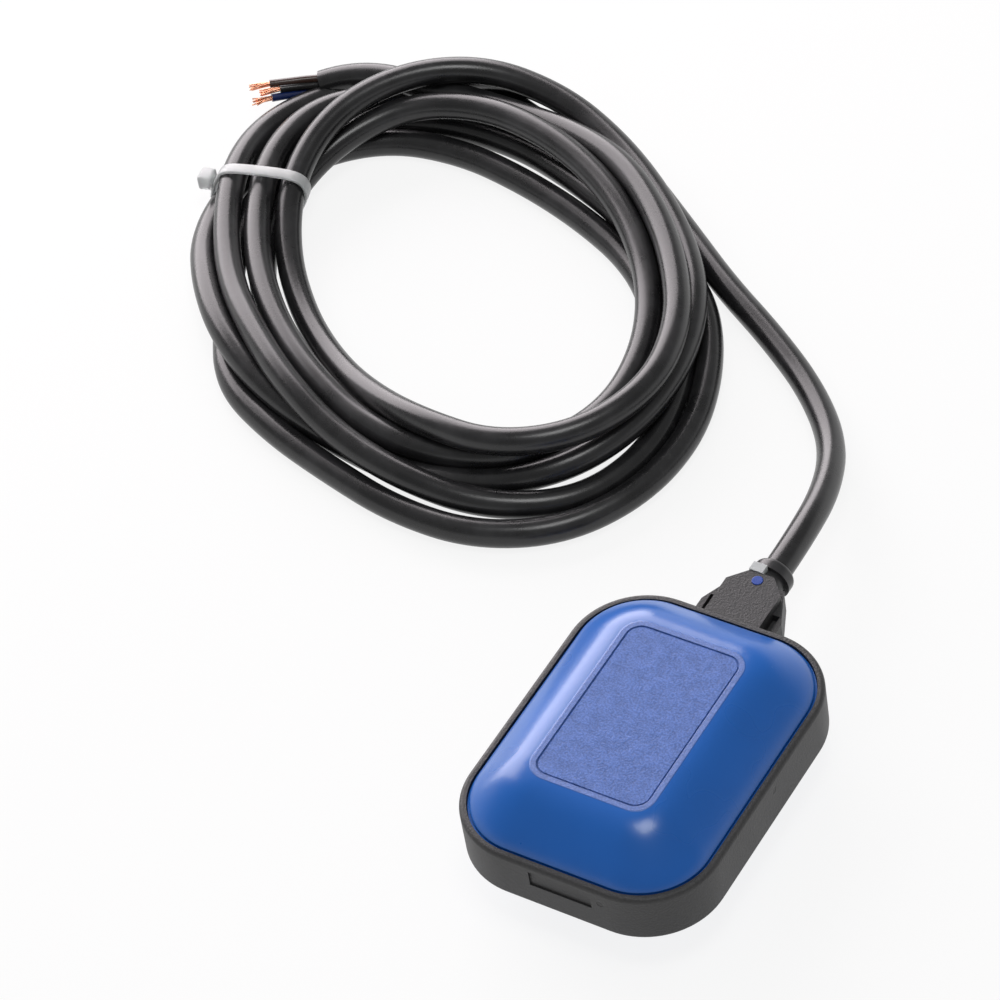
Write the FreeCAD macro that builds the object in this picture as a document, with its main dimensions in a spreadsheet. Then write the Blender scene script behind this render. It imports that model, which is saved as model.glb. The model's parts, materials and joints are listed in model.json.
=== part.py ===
"""Cable float switch: a domed two-shell float with a black band and neck, the ball and
microswitch inside it, and its cable with the coil, the tie and the stripped cores.

Frame: millimetres, +Z up, the float lies on the flat panel of its lower cover. The origin
is the middle of that panel. +Y points out of the neck along the cable, +X across the float.
"""
import FreeCAD
import Part
import Sketcher
import math
import os
import re

V = FreeCAD.Vector

# Driving dimensions in millimetres and degrees, one row each
SIZES = {
    # the float as a whole
    "body_width": 81.0, "body_length": 106.0, "body_radius": 23.5, "body_thickness": 42.0,
    # black band that joins the two covers
    "band_height": 17.0, "lip_wall": 2.2, "lip_round": 1.4, "rim_gap": 0.8,
    "seat_depth": 3.0, "ledge_reach": 3.2,
    # blue covers
    "seat_clearance": 0.2, "cover_wall": 2.4, "flange_height": 1.8,
    "panel_width": 40.0, "panel_length": 64.0, "panel_radius": 6.5,
    "line_inset": 1.8, "line_width": 0.5, "line_depth": 0.3,
    "post_radius": 3.0, "post_pitch_across": 28.0, "post_pitch_along": 48.0,
    # neck of the band
    "neck_reach": 19.6, "neck_width": 18.2, "neck_height": 14.0,
    "neck_chamfer_across": 5.1, "neck_chamfer_along": 5.6,
    "cheek_reach": 18.0, "cheek_width": 26.6, "cheek_height": 8.6,
    "cheek_chamfer_across": 5.4, "cheek_chamfer_along": 12.0,
    "notch_width": 2.4, "notch_length": 7.0, "notch_depth": 5.0,
    # shallow field in the band's end wall
    "field_width": 20.0, "field_height": 5.6, "field_depth": 0.6, "field_aside": 2.0,
    "field_rise": 3.0,
    # cable gland in the neck
    "cable_diameter": 9.0, "cable_clearance": 0.1, "fit_clearance": 0.05,
    "bush_radius": 5.8, "bush_depth": 15.0, "bush_groove_radius": 5.2, "bush_groove": 3.4,
    "collar_radius": 6.5, "collar_length": 4.3, "collar_round": 1.6,
    "key_width": 4.4, "key_height": 2.3, "key_offset": 2.2, "key_proud": 0.3,
    "peg_radius": 1.75, "peg_from_tip": 3.0, "peg_depth": 1.1, "peg_proud": 0.25,
    # sealed capsule that holds the switch
    "capsule_width": 44.0, "capsule_length": 76.0, "capsule_height": 26.0,
    "capsule_wall": 2.0, "capsule_radius": 4.0, "gasket_thickness": 0.8,
    "boss_radius": 3.0, "boss_inset": 4.6,
    "screw_radius": 1.25, "screw_head_radius": 2.5, "screw_head_height": 2.0,
    "screw_length": 19.0,
    # steel ball and its track
    "ball_radius": 9.0, "rib_thickness": 1.6, "rib_length": 31.0, "ball_stop_gap": 0.3,
    # microswitch
    "switch_front": 3.0, "switch_end": 2.8, "switch_depth": 15.9, "switch_thickness": 10.3,
    "switch_cover_thickness": 2.0, "switch_wall": 1.2, "switch_pitch": 22.2,
    "switch_screw_radius": 1.4, "switch_boss_radius": 2.5, "switch_screw_back": 4.0,
    "plunger_radius": 1.2, "plunger_reach": 2.0, "plunger_flange_radius": 1.9,
    "plunger_flange_thickness": 0.9, "plunger_press": 0.9,
    "blade_setback": 5.0, "blade_thickness": 0.4, "blade_height": 4.0, "blade_length": 15.0,
    "blade_tilt": 3.0,
    "terminal_gap": 1.0, "terminal_width": 4.0, "terminal_thickness": 0.8,
    "terminal_reach": 6.5, "terminal_hole": 0.8, "terminal_hole_inset": 2.2,
    "contact_radius": 1.1, "contact_height": 0.75, "contact_gap": 1.6, "blade_grip": 0.02,
    # lever in front of the plunger
    "lever_arm": 12.4, "lever_length": 24.0, "lever_thickness": 0.5, "lever_height": 5.0,
    "lever_rest_angle": 6.0, "pin_radius": 0.75, "eye_wall": 0.5, "ear_thickness": 1.2,
    "ear_width": 3.2, "pin_setback": 2.18,
    # wires inside the capsule
    "wire_diameter": 2.6, "wire_spread": 2.3, "sheath_inside": 2.0,
    # coil of cable on the floor
    "coil_half_length": 118.0, "coil_half_width": 78.0, "coil_turn": -40.4,
    "hole_half_length": 76.7, "hole_half_width": 43.4, "hole_turn": -27.2,
    "coil_height": 24.0, "coil_round": 6.0, "tail_room": 1.0,
    # nylon tie round the coil
    "tie_width": 4.8, "tie_thickness": 1.3, "tie_head": 6.4, "tie_head_height": 5.4,
    "tie_head_level": 12.6, "tie_head_across": -20.9, "tie_round": 3.5,
    # stripped end
    "core_diameter": 2.7, "core_length": 17.0, "sheath_wall": 1.3,
    "copper_diameter": 1.5, "copper_length": 9.0,
}

FOLLOWING = {  # dimensions that follow from the ones above
    "switch_width": "switch_pitch + 2 * switch_end",
    "terminal_pitch": "switch_pitch / 2 - switch_boss_radius - terminal_width / 2 - terminal_gap",
}

doc = FreeCAD.newDocument("CableFloatSwitch")
sheet = doc.addObject("Spreadsheet::Sheet", "Sizes")
rows = [*SIZES.items(), *((name, "=" + text) for name, text in FOLLOWING.items())]
for row, (name, value) in enumerate(rows, start=1):
    sheet.set(f"A{row}", name)
    sheet.set(f"B{row}", str(value))
    sheet.setAlias(f"B{row}", name)
doc.recompute()

pieces = []


def size(name):
    """The value that the sheet holds for one dimension."""
    return float(sheet.get(name))


def linked(text):
    """The expression that reads every named dimension from the sheet."""
    return re.sub(r"[a-z_]+", lambda m: "Sizes." + m.group(0)
                  if m.group(0) in SIZES or m.group(0) in FOLLOWING else m.group(0), text)


def bind(thing, prop, text):
    thing.setExpression(prop, linked(str(text)))


def place(thing, x=0, y=0, z=0):
    for axis, text in zip("xyz", (x, y, z)):
        bind(thing, f"Placement.Base.{axis}", text)


def keep(thing, label):
    """Names a finished piece and puts it on the list that is written out."""
    thing.Label = label
    pieces.append(thing)
    return thing


# Places that several pieces share
MIDDLE = "(body_thickness / 2)"
BODY_END = "(body_length / 2)"
NECK_TIP = f"({BODY_END} + neck_reach)"
SEAT_WIDTH = "(body_width - 2 * lip_wall)"
SEAT_LENGTH = "(body_length - 2 * lip_wall)"
SEAT_RADIUS = "(body_radius - lip_wall)"
LEDGE_TOP = "(body_thickness / 2 + band_height / 2 - seat_depth)"
RIM_TOP = "(body_thickness / 2 + band_height / 2)"
CAPSULE_TOP = "(body_thickness / 2 + capsule_height / 2)"
CAPSULE_BOTTOM = "(body_thickness / 2 - capsule_height / 2)"
CAPSULE_END = "(capsule_length / 2)"
FLOOR = f"({CAPSULE_BOTTOM} + capsule_wall)"


# Sketches

def new_sketch(body, name, height):
    sketch = body.newObject("Sketcher::SketchObject", name)
    plane = [f for f in body.Origin.OriginFeatures if f.Role == "XY_Plane"][0]
    sketch.AttachmentSupport = [(plane, "")]
    sketch.MapMode = "FlatFace"
    bind(sketch, "AttachmentOffset.Base.z", height)
    return sketch


def draw_rounded(sketch, width, length, radius, tag):
    """A rounded rectangle about the sketch's origin, driven by three expressions."""
    first = len(sketch.Geometry)
    w, n, r = 20.0, 30.0, 5.0
    z = V(0, 0, 1)
    corners = [(w - r, n - r, 0), (-w + r, n - r, 90), (-w + r, -n + r, 180), (w - r, -n + r, 270)]
    lines = [((w, -n + r), (w, n - r)), ((w - r, n), (-w + r, n)),
             ((-w, n - r), (-w, -n + r)), ((-w + r, -n), (w - r, -n))]
    for (start, end), (cx, cy, turn) in zip(lines, corners):
        sketch.addGeometry(Part.LineSegment(V(*start, 0), V(*end, 0)), False)
        circle = Part.Circle(V(cx, cy, 0), z, r)
        a = math.radians(turn)
        sketch.addGeometry(Part.ArcOfCircle(circle, a, a + math.pi / 2), False)
    for k in range(4):
        line, arc, following = first + 2 * k, first + 2 * k + 1, first + (2 * k + 2) % 8
        sketch.addConstraint(Sketcher.Constraint("Tangent", line, 2, arc, 1))
        sketch.addConstraint(Sketcher.Constraint("Tangent", arc, 2, following, 1))
        if k:
            sketch.addConstraint(Sketcher.Constraint("Equal", first + 1, arc))
    sketch.addConstraint(Sketcher.Constraint("Vertical", first))
    sketch.addConstraint(Sketcher.Constraint("Horizontal", first + 2))
    sketch.addConstraint(Sketcher.Constraint("Symmetric", first, 1, first + 4, 1, -1, 1))
    sketch.addConstraint(Sketcher.Constraint("Symmetric", first, 2, first + 4, 2, -1, 1))
    for kind, name, args, text in (
            ("DistanceX", "width", (first + 4, 1, first, 2, 2 * w), width),
            ("DistanceY", "length", (first + 6, 1, first + 2, 1, 2 * n), length),
            ("Radius", "radius", (first + 1, r), radius)):
        at = sketch.addConstraint(Sketcher.Constraint(kind, *args))
        sketch.renameConstraint(at, name + tag)
        bind(sketch, f"Constraints.{name}{tag}", text)


def rounded_sketch(body, name, height, *outlines):
    """A sketch of one or more rounded rectangles, each (width, length, radius)."""
    sketch = new_sketch(body, name, height)
    for k, outline in enumerate(outlines):
        draw_rounded(sketch, *outline, tag=f"_{k}")
    return sketch


def circle_sketch(body, name, height, centres, radius):
    """Equal circles at points given as pairs of positive expressions and signs."""
    sketch = new_sketch(body, name, height)
    for k, (across, along, sx, sy) in enumerate(centres):
        geo = sketch.addGeometry(Part.Circle(V(10 * sx, 20 * sy, 0), V(0, 0, 1), 2.0), False)
        for kind, text, sign in (("DistanceX", across, sx), ("DistanceY", along, sy)):
            ends = (-1, 1, geo, 3) if sign > 0 else (geo, 3, -1, 1)
            at = sketch.addConstraint(Sketcher.Constraint(kind, *ends, 10.0))
            sketch.renameConstraint(at, f"{kind}_{k}")
            bind(sketch, f"Constraints.{kind}_{k}", text)
        at = sketch.addConstraint(Sketcher.Constraint("Radius", geo, 2.0))
        sketch.renameConstraint(at, f"radius_{k}")
        bind(sketch, f"Constraints.radius_{k}", radius)
    return sketch


def tapered_sketch(body, name, height, width, tip_width, near, shoulder, far):
    """A plate across the Y axis that narrows from its shoulder to its tip."""
    sketch = new_sketch(body, name, height)
    points = [V(-10, 40, 0), V(10, 40, 0), V(10, 55, 0), V(5, 60, 0), V(-5, 60, 0), V(-10, 55, 0)]
    for start, end in zip(points, points[1:] + points[:1]):
        sketch.addGeometry(Part.LineSegment(start, end), False)
    for k in range(6):
        sketch.addConstraint(Sketcher.Constraint("Coincident", k, 2, (k + 1) % 6, 1))
    for left, right in ((0, 1), (5, 2), (4, 3)):
        sketch.addConstraint(Sketcher.Constraint("Symmetric", left, 1, right, 1, -2))
    sketch.addConstraint(Sketcher.Constraint("Vertical", 1))
    for label, kind, args, text in (("width", "DistanceX", (0, 1, 1, 1, 20.0), width),
                                    ("tip_width", "DistanceX", (4, 1, 3, 1, 10.0), tip_width),
                                    ("near", "DistanceY", (-1, 1, 1, 1, 40.0), near),
                                    ("shoulder", "DistanceY", (-1, 1, 2, 1, 55.0), shoulder),
                                    ("far", "DistanceY", (-1, 1, 3, 1, 60.0), far)):
        at = sketch.addConstraint(Sketcher.Constraint(kind, *args))
        sketch.renameConstraint(at, label)
        bind(sketch, f"Constraints.{label}", text)
    return sketch


# Features

def pad(body, name, sketch, length, reverse=False, midplane=False):
    feature = body.newObject("PartDesign::Pad", name)
    feature.Profile = sketch
    feature.Reversed = reverse
    if midplane:
        feature.SideType = "Symmetric"
    bind(feature, "Length", length)
    doc.recompute()
    return feature


def pocket(body, name, sketch, length, reverse=False, midplane=False):
    before = body.Shape.Volume
    feature = body.newObject("PartDesign::Pocket", name)
    feature.Profile = sketch
    feature.Reversed = reverse
    if midplane:
        feature.SideType = "Symmetric"
    bind(feature, "Length", length)
    doc.recompute()
    if not body.Shape.Volume < before:
        raise RuntimeError(f"{name} cuts nothing")
    return feature


def round_edges(body, name, test, radius):
    """A fillet on the edges of the body that a test picks."""
    base = body.Tip
    chosen = [f"Edge{k}" for k, edge in enumerate(base.Shape.Edges, start=1) if test(edge)]
    if not chosen:
        raise RuntimeError(f"{name} finds no edge")
    feature = body.newObject("PartDesign::Fillet", name)
    feature.Base = (base, chosen)
    bind(feature, "Radius", radius)
    doc.recompute()
    return feature


def box(name, x, y, z):
    """A block between three pairs of expressions."""
    thing = doc.addObject("Part::Box", name)
    for prop, (low, high) in zip(("Length", "Width", "Height"), (x, y, z)):
        bind(thing, prop, f"({high}) - ({low})")
    place(thing, x[0], y[0], z[0])
    return thing


def rod(name, radius, length, at, along="z"):
    """A cylinder that starts at a point and runs along +Z or +Y."""
    thing = doc.addObject("Part::Cylinder", name)
    bind(thing, "Radius", radius)
    bind(thing, "Height", length)
    if along == "y":
        thing.Placement = FreeCAD.Placement(V(), FreeCAD.Rotation(V(1, 0, 0), -90))
    place(thing, *at)
    return thing


def fuse(name, *things):
    joined = doc.addObject("Part::MultiFuse", name)
    joined.Shapes = list(things)
    joined.Refine = True
    return joined


def cut(name, base, *tools):
    tool = tools[0] if len(tools) == 1 else fuse(name + "Tools", *tools)
    made = doc.addObject("Part::Cut", name)
    made.Base = base
    made.Tool = tool
    made.Refine = True
    return made


def solid_feature(name, shape):
    thing = doc.addObject("Part::Feature", name)
    thing.Shape = shape
    return thing


# Covers: a domed shell with a flat panel, a flange in the band's seat and four posts

CROWN = [  # share of the crown's height, share of its run from the rim to the panel
    (0.00, 0.00), (0.11, 0.05), (0.35, 0.21), (0.72, 0.52), (0.93, 0.78), (1.00, 1.00)]


def crown_section(body, name, rise, run, inset, drop):
    """One level of the dome, moved in by the wall and down by it for the inner form."""
    width = f"({SEAT_WIDTH} - 2 * rim_gap)"
    length = f"({SEAT_LENGTH} - 2 * rim_gap)"
    radius = f"({SEAT_RADIUS} - rim_gap)"
    level = f"{RIM_TOP} + {rise} * (body_thickness - {RIM_TOP} - {drop})"
    blend = [f"({outer} - {run} * ({outer} - {top})) - {share} * {inset}"
             for outer, top, share in ((width, "panel_width", 2), (length, "panel_length", 2),
                                       (radius, "panel_radius", 1))]
    return rounded_sketch(body, name, level, blend)


def make_cover(label, turned):
    body = doc.addObject("PartDesign::Body", label.title().replace("_", ""))
    rim = (f"{SEAT_WIDTH} - 2 * rim_gap", f"{SEAT_LENGTH} - 2 * rim_gap",
           f"{SEAT_RADIUS} - rim_gap")
    flange = (f"{SEAT_WIDTH} - 2 * seat_clearance", f"{SEAT_LENGTH} - 2 * seat_clearance",
              f"{SEAT_RADIUS} - seat_clearance")
    pad(body, "Skirt", rounded_sketch(body, "SkirtOutline", LEDGE_TOP, rim), "seat_depth")
    pad(body, "Flange", rounded_sketch(body, "FlangeOutline", LEDGE_TOP, flange),
        "flange_height")
    dome = [crown_section(body, f"Dome{k}", rise, run, "0", "0")
            for k, (rise, run) in enumerate(CROWN)]
    loft = body.newObject("PartDesign::AdditiveLoft", "Crown")
    loft.Profile = dome[0]
    loft.Sections = dome[1:]
    doc.recompute()
    hollow = [crown_section(body, f"Hollow{k}", rise, run, "cover_wall", "cover_wall")
              for k, (rise, run) in enumerate(CROWN)]
    inner = body.newObject("PartDesign::SubtractiveLoft", "CrownInside")
    inner.Profile = hollow[0]
    inner.Sections = hollow[1:]
    doc.recompute()
    mouth = tuple(f"{text} - {share} * cover_wall" for text, share in zip(rim, (2, 2, 1)))
    pocket(body, "Mouth", rounded_sketch(body, "MouthOutline", LEDGE_TOP, mouth),
           "seat_depth", reverse=True)
    line = [tuple(f"panel_{side} - {share} * ({step})" for side, share in
                  (("width", 2), ("length", 2), ("radius", 1)))
            for step in ("line_inset", "line_inset + line_width")]
    pocket(body, "PanelLine", rounded_sketch(body, "PanelLineOutline", "body_thickness", *line),
           "line_depth")
    posts = [("post_pitch_across / 2", "post_pitch_along / 2", sx, sy)
             for sx in (1, -1) for sy in (1, -1)]
    pad(body, "Posts", circle_sketch(body, "PostCircles", CAPSULE_TOP, posts, "post_radius"),
        f"body_thickness - {CAPSULE_TOP} - cover_wall / 2")
    if turned:
        body.Placement = FreeCAD.Placement(V(), FreeCAD.Rotation(V(0, 1, 0), 180))
        place(body, 0, 0, "body_thickness")
    return keep(body, label)


# Band: a ring with a seat for each cover, and the neck that carries the cable

def lies_level(edge):
    return edge.BoundBox.ZLength < 1e-4


def make_band():
    body = doc.addObject("PartDesign::Body", "Band")
    outline = ("body_width", "body_length", "body_radius")
    seat = (SEAT_WIDTH, SEAT_LENGTH, SEAT_RADIUS)
    opening = tuple(f"{text} - {share} * ledge_reach" for text, share in zip(seat, (2, 2, 1)))
    pad(body, "Ring", rounded_sketch(body, "RingOutline", MIDDLE, outline), "band_height",
        midplane=True)
    round_edges(body, "LipRound", lies_level, "lip_round")
    pocket(body, "Opening", rounded_sketch(body, "OpeningOutline", MIDDLE, opening),
           "band_height", midplane=True)
    pocket(body, "UpperSeat", rounded_sketch(body, "UpperSeatOutline", RIM_TOP, seat),
           "seat_depth")
    pocket(body, "LowerSeat",
           rounded_sketch(body, "LowerSeatOutline", f"{MIDDLE} - band_height / 2", seat),
           "seat_depth", reverse=True)
    root = f"({BODY_END} - lip_wall / 2)"
    for part, reach in (("cheek", f"({BODY_END} + cheek_reach)"), ("neck", NECK_TIP)):
        outline = tapered_sketch(body, part.title() + "Outline", MIDDLE, f"{part}_width",
                                 f"{part}_width - 2 * {part}_chamfer_across", root,
                                 f"{reach} - {part}_chamfer_along", reach)
        pad(body, part.title() + "Plate", outline, f"{part}_height", midplane=True)
    return keep(neck_cuts(body), "band")


def neck_cuts(body):
    """The band after its bores and notches, which are plain cylinders and blocks."""
    notches = []
    for side in (1, -1):
        inner = f"{side} * neck_width / 2"
        outer = f"{side} * (neck_width / 2 + notch_width)"
        low, high = (inner, outer) if side > 0 else (outer, inner)
        for level in (1, -1):
            top = f"{MIDDLE} + {level} * (cheek_height / 2 + 1)"
            bottom = f"{MIDDLE} + {level} * (cheek_height / 2 - notch_depth / 2)"
            pair = (bottom, top) if level > 0 else (top, bottom)
            notches.append(box("CheekNotch", (low, high),
                               (f"{BODY_END} + 1.5", f"{BODY_END} + 1.5 + notch_length"), pair))
    way = rod("CableWay", "cable_diameter / 2 + cable_clearance", "60",
              ("0", f"{BODY_END} - 20", MIDDLE), "y")
    seat = rod("BushSeat", "bush_radius + fit_clearance", "bush_depth + 10",
               ("0", f"{NECK_TIP} - bush_depth", MIDDLE), "y")
    peg_hole = rod("PegHole", "peg_radius + fit_clearance", "peg_depth + 5",
                   ("0", f"{NECK_TIP} - peg_from_tip", f"{MIDDLE} + neck_height / 2 - peg_depth"))
    low = f"{MIDDLE} + field_rise - field_height / 2"
    field = box("EndField", ("field_aside - field_width / 2", "field_aside + field_width / 2"),
                (f"-{BODY_END} - 2", f"-{BODY_END} + field_depth"), (low, f"{low} + field_height"))
    return cut("BandCut", body, way, seat, peg_hole, field, *notches)


def make_gland():
    """Bush, its key and the coloured peg in the neck."""
    start = f"({NECK_TIP} - bush_depth)"
    collar = f"({NECK_TIP} + bush_groove)"
    sleeve = rod("BushSleeve", "bush_radius", "bush_depth", ("0", start, MIDDLE), "y")
    groove = rod("BushGroove", "bush_groove_radius", "bush_groove", ("0", NECK_TIP, MIDDLE), "y")
    lip = rod("BushCollar", "collar_radius", "collar_length", ("0", collar, MIDDLE), "y")
    bore = rod("BushBore", "cable_diameter / 2", "80", ("0", f"{start} - 5", MIDDLE), "y")
    whole = fuse("BushWhole", sleeve, groove, lip)
    doc.recompute()
    far = size("body_length") / 2 + size("neck_reach") + size("bush_groove") + size("collar_length")
    rounded = doc.addObject("Part::Fillet", "BushRounded")
    rounded.Base = whole
    limit = min(size("collar_round"), 0.9 * (size("collar_radius") - size("cable_diameter") / 2))
    rounded.Edges = [(k, limit, limit) for k, edge in enumerate(whole.Shape.Edges, start=1)
                     if edge.BoundBox.YLength < 1e-4 and abs(edge.BoundBox.YMin - far) < 1e-3]
    keep(cut("Bush", rounded, bore), "gland_bush")

    top = f"{MIDDLE} + neck_height / 2 + key_proud"
    block = box("KeyBlock", ("-key_offset - key_width / 2", "-key_offset + key_width / 2"),
                (f"{NECK_TIP} + fit_clearance", f"{collar} - fit_clearance"),
                (f"{top} - key_height", top))
    seat = rod("KeySeat", "bush_groove_radius", "bush_groove", ("0", NECK_TIP, MIDDLE), "y")
    keep(cut("Key", block, seat), "gland_key")

    shank = rod("PegShank", "peg_radius", "peg_depth + peg_proud",
                ("0", f"{NECK_TIP} - peg_from_tip", f"{MIDDLE} + neck_height / 2 - peg_depth"))
    doc.recompute()
    crown = size("body_thickness") / 2 + size("neck_height") / 2 + size("peg_proud")
    peg = doc.addObject("Part::Fillet", "Peg")
    peg.Base = shank
    peg.Edges = [(k, 0.9 * size("peg_proud"), 0.9 * size("peg_proud"))
                 for k, edge in enumerate(shank.Shape.Edges, start=1)
                 if edge.BoundBox.ZLength < 1e-4 and abs(edge.BoundBox.ZMin - crown) < 1e-3]
    keep(peg, "neck_peg")


# Capsule: base, gasket and lid clamped between the covers' posts

def corner_places(across, along):
    return [(f"{sx} * ({across})", f"{sy} * ({along})") for sx in (1, -1) for sy in (1, -1)]


def capsule_shell(name, low, high, floor_low, floor_high):
    """One half of the capsule: a rounded tray with four screw bosses."""
    body = doc.addObject("PartDesign::Body", name)
    outer = ("capsule_width", "capsule_length", "capsule_radius")
    inner = ("capsule_width - 2 * capsule_wall", "capsule_length - 2 * capsule_wall",
             "capsule_radius - capsule_wall")
    pad(body, "Outside", rounded_sketch(body, "OutsideOutline", low, outer),
        f"({high}) - ({low})")
    pocket(body, "Inside", rounded_sketch(body, "InsideOutline", floor_low, inner),
           f"({floor_high}) - ({floor_low})", reverse=True)
    places = [("capsule_width / 2 - boss_inset", "capsule_length / 2 - boss_inset", sx, sy)
              for sx in (1, -1) for sy in (1, -1)]
    pad(body, "Bosses", circle_sketch(body, "BossCircles", low, places, "boss_radius"),
        f"({high}) - ({low})")
    return body


def make_capsule():
    split_low = f"({MIDDLE} - gasket_thickness / 2)"
    split_high = f"({MIDDLE} + gasket_thickness / 2)"
    places = corner_places("capsule_width / 2 - boss_inset", "capsule_length / 2 - boss_inset")
    hole = "cable_diameter / 2 + cable_clearance"
    doorway = [rod("Doorway", hole, "capsule_wall + 4", ("0", f"{CAPSULE_END} - capsule_wall - 2",
                                                         MIDDLE), "y") for _ in range(3)]

    base = capsule_shell("CapsuleBase", CAPSULE_BOTTOM, split_low, FLOOR, split_low)
    low_holes = [rod("ThreadHole", "screw_radius + fit_clearance", "capsule_height",
                     (x, y, f"{CAPSULE_TOP} - screw_length - 0.5")) for x, y in places]
    near = f"(-{CAPSULE_END} + capsule_wall - 0.5)"
    rib_top = f"{FLOOR} + ball_radius"
    ribs = [box("BallRib", pair, (near, f"-{CAPSULE_END} + capsule_wall + rib_length"),
                (f"{CAPSULE_BOTTOM} + 0.5", rib_top))
            for pair in (("ball_radius + fit_clearance", "ball_radius + fit_clearance + rib_thickness"),
                         ("-ball_radius - fit_clearance - rib_thickness",
                          "-ball_radius - fit_clearance"))]
    seats = [rod("SwitchSeat", "switch_boss_radius",
                 f"{MIDDLE} - switch_thickness / 2 - {CAPSULE_BOTTOM} - 0.5",
                 (f"{side} * switch_pitch / 2", SWITCH_SCREW, f"{CAPSULE_BOTTOM} + 0.5"))
             for side in (1, -1)]
    seat_holes = [rod("SeatHole", "switch_screw_radius + fit_clearance", "switch_thickness",
                      (f"{side} * switch_pitch / 2", SWITCH_SCREW,
                       f"{MIDDLE} - switch_thickness / 2 - 4.5")) for side in (1, -1)]
    whole = fuse("CapsuleBaseWhole", base, *ribs, *seats)
    keep(cut("CapsuleBaseCut", whole, doorway[0], *low_holes, *seat_holes), "capsule_base")

    ceiling = f"({CAPSULE_TOP} - capsule_wall)"
    lid = capsule_shell("CapsuleLid", split_high, CAPSULE_TOP, split_high, ceiling)
    high_holes = [rod("ClearHole", "screw_radius + fit_clearance", "capsule_height", (x, y, MIDDLE))
                  for x, y in places]
    sinks = [rod("HeadSink", "screw_head_radius + fit_clearance", "screw_head_height + 3",
                 (x, y, f"{CAPSULE_TOP} - screw_head_height")) for x, y in places]
    keep(cut("CapsuleLidCut", lid, doorway[1], *high_holes, *sinks), "capsule_lid")

    gasket = doc.addObject("PartDesign::Body", "GasketRing")
    outer = ("capsule_width", "capsule_length", "capsule_radius")
    inner = ("capsule_width - 2 * capsule_wall", "capsule_length - 2 * capsule_wall",
             "capsule_radius - capsule_wall")
    pad(gasket, "Sheet", rounded_sketch(gasket, "SheetOutline", split_low, outer, inner),
        "gasket_thickness")
    keep(cut("Gasket", gasket, doorway[2]), "capsule_gasket")

    screws = []
    for x, y in places:
        shank = rod("ScrewShank", "screw_radius", "screw_length - 0.5",
                    (x, y, f"{CAPSULE_TOP} - screw_length"))
        head = rod("ScrewHead", "screw_head_radius", "screw_head_height - 0.3",
                   (x, y, f"{CAPSULE_TOP} - screw_head_height"))
        slot = box("ScrewSlot", (f"{x} - screw_head_radius", f"{x} + screw_head_radius"),
                   (f"{y} - 0.3", f"{y} + 0.3"),
                   (f"{CAPSULE_TOP} - 1", f"{CAPSULE_TOP}"))
        screws.append(cut("CapsuleScrew", fuse("ScrewWhole", shank, head), slot))
    group = doc.addObject("Part::Compound", "CapsuleScrews")
    group.Links = screws
    keep(group, "capsule_screws")


# Microswitch: case, cover, screws, plunger, blade and terminals

SWITCH_BACK = "(switch_front + switch_depth)"
SWITCH_LOW = f"({MIDDLE} - switch_thickness / 2)"
SWITCH_HIGH = f"({MIDDLE} + switch_thickness / 2)"
CASE_HIGH = f"({SWITCH_HIGH} - switch_cover_thickness)"
SWITCH_SCREW = f"({SWITCH_BACK} - switch_screw_back)"
BLADE_FRONT = "(switch_front + blade_setback)"
PIN_FRONT = "(switch_front - pin_setback)"
TERMINAL_END = f"({SWITCH_BACK} + terminal_reach)"


def across(half):
    return (f"-({half})", f"{half}")


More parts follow.
